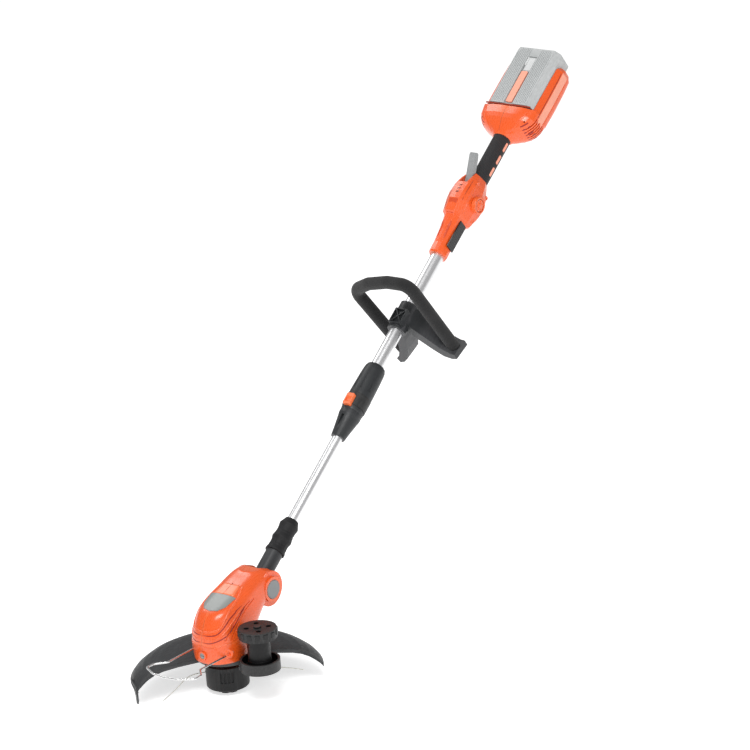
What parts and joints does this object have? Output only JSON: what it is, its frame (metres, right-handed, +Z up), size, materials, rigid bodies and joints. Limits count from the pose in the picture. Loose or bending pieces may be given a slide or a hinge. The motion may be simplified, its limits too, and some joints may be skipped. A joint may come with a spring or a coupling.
{
  "type": "cordless string trimmer",
  "caption": "Cordless string trimmer with telescoping boom, tilting motor head, domed guard, edge wheel, wire bail, looped front grip, rear grip with lever and sliding battery.",
  "frame": {"origin": "centre of the bump knob's lower face, which is the ground contact while cutting", "axes": "+Z up along the spool axis; +X back along the ground towards the operator, so the boom rises towards +X; +Y the operator's right, so the edge wheel and side pad are on -Y"},
  "size_m": [1.3826, 0.3412, 1.0252],
  "materials": {
    "orange_plastic": "gloss moulded",
    "orange_button": "satin moulded",
    "dark_plastic": "matte moulded",
    "black_plastic": "matte moulded",
    "soft_black": "textured",
    "foam": "closed-cell foam",
    "grey_plastic": "satin moulded",
    "mid_grey_plastic": "satin moulded",
    "tube_aluminium": "satin anodised",
    "steel": "bright",
    "motor_metal": "plated",
    "spine_plastic": "moulded",
    "nylon_line": "smooth nylon",
    "board": "board",
    "contacts": "plated",
    "cells": "sleeved"
  },
  "bodies": {
    "boom": {"upper_tube": "tube_aluminium", "coupling_shell": "dark_plastic", "coupling_band": "black_plastic", "switch_housing_left": "orange_plastic", "switch_housing_right": "orange_plastic", "side_pad": "soft_black", "side_cap": "mid_grey_plastic", "lever_pin": "steel", "micro_switch": "black_plastic", "control_board": "board", "rear_grip": "soft_black", "grip_inlays": "orange_button", "grip_spine": "spine_plastic", "dock_left": "orange_plastic", "dock_right": "orange_plastic", "dock_terminals": "contacts"},
    "coupling_latch": {"latch_button": "orange_button"},
    "turn_collar": {"turn_collar": "dark_plastic"},
    "lower_boom": {"lower_tube": "tube_aluminium", "slide_bushing": "spine_plastic", "boom_boot": "soft_black", "tilt_knuckle": "black_plastic"},
    "head": {"motor_housing_left": "orange_plastic", "motor_housing_right": "orange_plastic", "motor_base": "orange_plastic", "front_screw": "steel", "badge_plate": "mid_grey_plastic", "tilt_pin": "steel", "guard": "dark_plastic", "guard_screws": "steel", "line_cutter": "steel", "wheel_arm": "dark_plastic", "wheel_axle": "steel", "motor_can": "motor_metal"},
    "tilt_release": {"tilt_button": "mid_grey_plastic"},
    "bail": {"wire_bail": "steel"},
    "edge_wheel": {"edge_wheel": "black_plastic"},
    "spool": {"spool_housing": "black_plastic", "line_eyelets": "steel", "drive_shaft": "steel", "motor_rotor": "motor_metal", "line_left": "nylon_line", "line_right": "nylon_line"},
    "bump": {"bump_knob": "black_plastic", "spool_reel": "black_plastic", "wound_line": "nylon_line"},
    "front_handle": {"handle_bracket": "dark_plastic", "handle_clamp_cap": "dark_plastic", "foam_grip": "foam", "handle_core": "steel", "clamp_bolt": "steel"},
    "handle_knob": {"clamp_knob": "black_plastic"},
    "lock_lever": {"lock_lever": "mid_grey_plastic"},
    "battery": {"battery_base": "grey_plastic", "battery_cover": "grey_plastic", "battery_cells": "cells"},
    "battery_release": {"battery_latch": "orange_button"}
  },
  "joints": [
    {"name": "coupling_latch_press", "type": "slide", "parent": "boom", "child": "coupling_latch", "axis": [0.6018, 0, -0.7986], "range_m": [0, 0.003], "stiffness_N_per_m": 400},
    {"name": "shaft_turn", "type": "hinge", "parent": "boom", "child": "turn_collar", "pos_m": [0.45341, 0, 0.43878], "axis": [0.7986, 0, 0.6018], "range_deg": [0, 180]},
    {"name": "boom_slide", "type": "slide", "parent": "turn_collar", "child": "lower_boom", "axis": [0.7986, 0, 0.6018], "range_m": [0, 0.12]},
    {"name": "head_tilt", "type": "hinge", "parent": "lower_boom", "child": "head", "pos_m": [0.11, 0, 0.18], "axis": [0, 1, 0], "range_deg": [-25, 25]},
    {"name": "tilt_button_press", "type": "slide", "parent": "head", "child": "tilt_release", "axis": [0, 1, 0], "range_m": [0, 0.0035], "stiffness_N_per_m": 500},
    {"name": "bail_slide", "type": "slide", "parent": "head", "child": "bail", "axis": [1, 0, 0], "range_m": [0, 0.04]},
    {"name": "edge_wheel_spin", "type": "hinge", "parent": "head", "child": "edge_wheel", "pos_m": [-0.012, -0.0985, 0.11], "axis": [0, 0, 1], "continuous": true},
    {"name": "spool_spin", "type": "hinge", "parent": "head", "child": "spool", "pos_m": [0, 0, 0.04], "axis": [0, 0, 1], "continuous": true},
    {"name": "bump_press", "type": "slide", "parent": "spool", "child": "bump", "axis": [0, 0, 1], "range_m": [0, 0.005], "stiffness_N_per_m": 800},
    {"name": "handle_turn", "type": "hinge", "parent": "boom", "child": "front_handle", "pos_m": [0.64029, 0, 0.57961], "axis": [0.7986, 0, 0.6018], "range_deg": [-30, 30]},
    {"name": "handle_knob_turn", "type": "hinge", "parent": "front_handle", "child": "handle_knob", "pos_m": [0.68616, -0.02195, 0.58853], "axis": [-0.176, -0.9563, 0.2335], "range_deg": [-180, 180]},
    {"name": "lock_lever_squeeze", "type": "hinge", "parent": "boom", "child": "lock_lever", "pos_m": [0.89499, 0, 0.80158], "axis": [0, 1, 0], "range_deg": [0, 20], "stiffness_Nm_per_rad": 0.6},
    {"name": "battery_slide", "type": "slide", "parent": "boom", "child": "battery", "axis": [0.7986, 0, 0.6018], "range_m": [0, 0.16]},
    {"name": "battery_latch_press", "type": "slide", "parent": "battery", "child": "battery_release", "axis": [0.6018, 0, -0.7986], "range_m": [0, 0.0015], "stiffness_N_per_m": 900}
  ]
}
